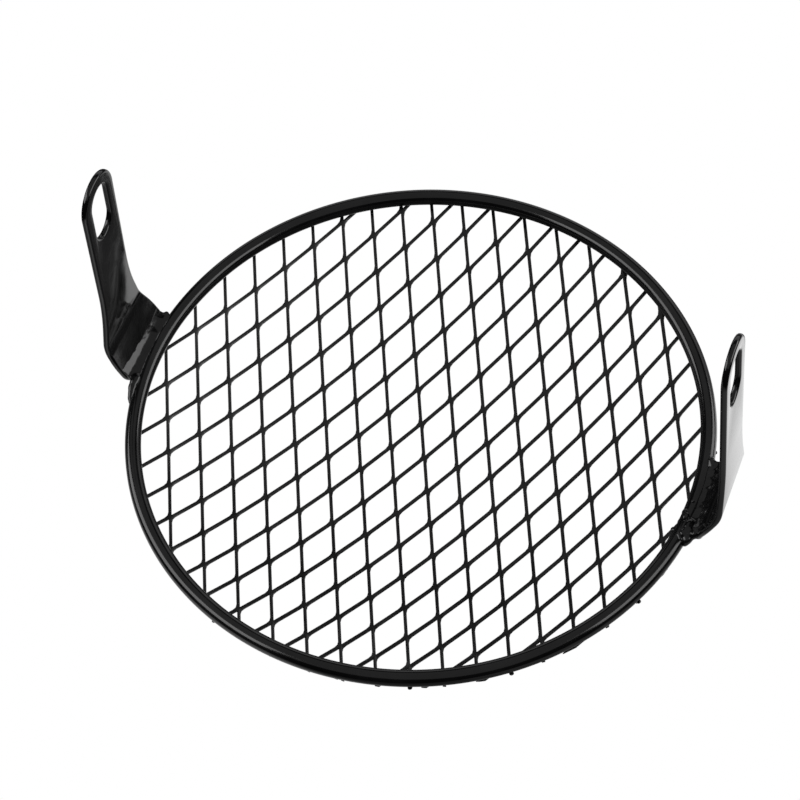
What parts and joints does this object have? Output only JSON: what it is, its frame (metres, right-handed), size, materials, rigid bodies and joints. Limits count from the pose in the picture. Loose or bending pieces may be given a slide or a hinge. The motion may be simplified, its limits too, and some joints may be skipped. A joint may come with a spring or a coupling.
{
  "type": "motorcycle headlight guard",
  "caption": "Domed wire-mesh guard on a round rod ring, with two bent strap brackets that hold it in front of a round headlight.",
  "frame": {"origin": "under the middle of the ring, at the lowest point of the domed mesh", "axes": "+Z along the ring's axis from the dome to the free ends of the brackets; the brackets stand on +X and -X"},
  "size_m": [0.1976, 0.181, 0.1035],
  "materials": {
    "black_ring": "gloss",
    "black_mesh": "gloss",
    "black_bracket": "gloss",
    "black_weld": "gloss"
  },
  "bodies": {
    "root": {"ring": "black_ring", "mesh": "black_mesh", "left_bracket": "black_bracket", "right_bracket": "black_bracket", "left_bracket_weld": "black_weld", "right_bracket_weld": "black_weld", "ring_seam_weld": "black_weld", "mesh_tack_welds": "black_weld"}
  },
  "joints": []
}
